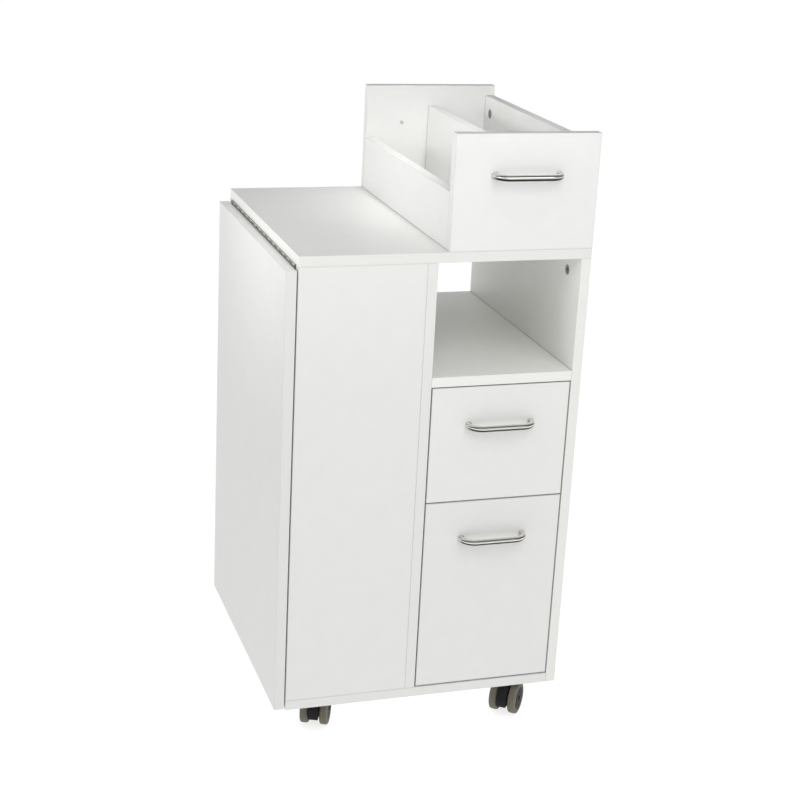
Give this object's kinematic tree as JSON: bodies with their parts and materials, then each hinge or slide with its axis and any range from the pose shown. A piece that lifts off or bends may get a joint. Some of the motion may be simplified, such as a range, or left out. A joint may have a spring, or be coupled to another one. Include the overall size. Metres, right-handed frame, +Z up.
{
  "type": "rolling drop-leaf cabinet",
  "caption": "Rolling board cabinet with a hanging side leaf, an organiser box on the tabletop, an open bay, drawers with bow handles, and swivel casters.",
  "frame": {"origin": "on the floor under the centre of the object's bounding box, leaf hanging and drawers shut", "axes": "+X to the right seen from the drawer side, +Y to the back, +Z up"},
  "size_m": [0.447, 0.464, 0.913],
  "materials": {
    "white_board": "white melamine-faced particle board, satin",
    "drawer_board": "white melamine-faced board, satin",
    "drawer_bottom": "thin white-faced fibreboard, satin",
    "handle_metal": "satin nickel plate",
    "slide_steel": "zinc-plated sheet steel",
    "screw_steel": "zinc-plated steel",
    "hinge_metal": "nickel-plated steel",
    "cam_zinc": "die-cast zinc, satin",
    "dowel_wood": "plain beech",
    "support_steel": "light grey powder coat",
    "catch_plastic": "moulded white plastic",
    "plate_steel": "zinc-plated steel",
    "hood_plastic": "moulded black plastic",
    "axle_steel": "bright steel",
    "wheel_plastic": "grey-brown soft plastic tread on a dark hub"
  },
  "bodies": {
    "cabinet": {"tabletop": "white_board", "bottom_board": "white_board", "right_side_panel": "white_board", "divider_panel": "white_board", "left_front_panel": "white_board", "left_back_panel": "white_board", "middle_shelf": "white_board", "drawer_bay_back": "white_board", "box_front_panel": "white_board", "box_back_panel": "white_board", "box_left_side": "white_board", "box_right_side": "white_board", "box_divider": "white_board", "upper_side_shelf": "white_board", "lower_side_shelf": "white_board", "box_handle": "handle_metal", "slide_cabinet_members": "slide_steel", "hinge_fixed_leaf": "hinge_metal", "hinge_pin": "hinge_metal", "hinge_fixed_screws": "screw_steel", "cabinet_screws": "screw_steel", "cam_fittings": "cam_zinc", "dowels": "dowel_wood", "support_brackets": "support_steel", "caster_plates": "plate_steel"},
    "leaf": {"leaf_panel": "white_board", "hinge_moving_leaf": "hinge_metal", "hinge_leaf_screws": "screw_steel", "leaf_catches": "catch_plastic"},
    "support": {"support_frame": "support_steel"},
    "upper_drawer": {"upper_drawer_front": "white_board", "upper_drawer_left_side": "drawer_board", "upper_drawer_right_side": "drawer_board", "upper_drawer_back": "drawer_board", "upper_drawer_bottom": "drawer_bottom", "upper_drawer_handle": "handle_metal", "upper_handle_screws": "screw_steel", "upper_slide_drawer_members": "slide_steel"},
    "upper_slide_middle": {"upper_slide_middle_members": "slide_steel"},
    "lower_drawer": {"lower_drawer_front": "white_board", "lower_drawer_left_side": "drawer_board", "lower_drawer_right_side": "drawer_board", "lower_drawer_back": "drawer_board", "lower_drawer_bottom": "drawer_bottom", "lower_drawer_handle": "handle_metal", "lower_handle_screws": "screw_steel", "lower_slide_drawer_members": "slide_steel"},
    "lower_slide_middle": {"lower_slide_middle_members": "slide_steel"},
    "caster_fl": {"caster_hood_fl": "hood_plastic", "caster_axle_fl": "axle_steel"},
    "wheels_fl": {"caster_wheels_fl": "wheel_plastic"},
    "caster_fr": {"caster_hood_fr": "hood_plastic", "caster_axle_fr": "axle_steel"},
    "wheels_fr": {"caster_wheels_fr": "wheel_plastic"},
    "caster_bl": {"caster_hood_bl": "hood_plastic", "caster_axle_bl": "axle_steel"},
    "wheels_bl": {"caster_wheels_bl": "wheel_plastic"},
    "caster_br": {"caster_hood_br": "hood_plastic", "caster_axle_br": "axle_steel"},
    "wheels_br": {"caster_wheels_br": "wheel_plastic"}
  },
  "joints": [
    {"name": "leaf_fold", "type": "hinge", "parent": "cabinet", "child": "leaf", "pos_m": [-0.2065, 0.012, 0.731], "axis": [0, 1, 0], "range_deg": [0, 90]},
    {"name": "support_swing", "type": "hinge", "parent": "cabinet", "child": "support", "pos_m": [-0.1985, 0.012, 0.498], "axis": [0, 1, 0], "range_deg": [0, 125.03]},
    {"name": "upper_drawer_slide", "type": "slide", "parent": "cabinet", "child": "upper_drawer", "axis": [0, -1, 0], "range_m": [0, 0.3]},
    {"name": "upper_middle_slide", "type": "slide", "parent": "cabinet", "child": "upper_slide_middle", "axis": [0, -1, 0], "range_m": [0, 0.15]},
    {"name": "lower_drawer_slide", "type": "slide", "parent": "cabinet", "child": "lower_drawer", "axis": [0, -1, 0], "range_m": [0, 0.3]},
    {"name": "lower_middle_slide", "type": "slide", "parent": "cabinet", "child": "lower_slide_middle", "axis": [0, -1, 0], "range_m": [0, 0.15]},
    {"name": "swivel_fl", "type": "hinge", "parent": "cabinet", "child": "caster_fl", "pos_m": [-0.1505, -0.166, 0.045], "axis": [0, 0, 1], "continuous": true},
    {"name": "roll_fl", "type": "hinge", "parent": "caster_fl", "child": "wheels_fl", "pos_m": [-0.14358, -0.15047, 0.025], "axis": [-0.9135, 0.4067, 0], "continuous": true},
    {"name": "swivel_fr", "type": "hinge", "parent": "cabinet", "child": "caster_fr", "pos_m": [0.1675, -0.166, 0.045], "axis": [0, 0, 1], "continuous": true},
    {"name": "roll_fr", "type": "hinge", "parent": "caster_fr", "child": "wheels_fr", "pos_m": [0.1568, -0.17921, 0.025], "axis": [0.7771, -0.6293, 0], "continuous": true},
    {"name": "swivel_bl", "type": "hinge", "parent": "cabinet", "child": "caster_bl", "pos_m": [-0.1505, 0.19, 0.045], "axis": [0, 0, 1], "continuous": true},
    {"name": "roll_bl", "type": "hinge", "parent": "caster_bl", "child": "wheels_bl", "pos_m": [-0.15687, 0.17424, 0.025], "axis": [0.9272, -0.3746, 0], "continuous": true},
    {"name": "swivel_br", "type": "hinge", "parent": "cabinet", "child": "caster_br", "pos_m": [0.1675, 0.19, 0.045], "axis": [0, 0, 1], "continuous": true},
    {"name": "roll_br", "type": "hinge", "parent": "caster_br", "child": "wheels_br", "pos_m": [0.17469, 0.17459, 0.025], "axis": [0.9063, 0.4226, 0], "continuous": true}
  ],
  "couplings": [
    {"joint": "support_swing", "follows": "leaf_fold", "ratio": 1.389},
    {"joint": "upper_middle_slide", "follows": "upper_drawer_slide", "ratio": 0.5},
    {"joint": "lower_middle_slide", "follows": "lower_drawer_slide", "ratio": 0.5}
  ]
}
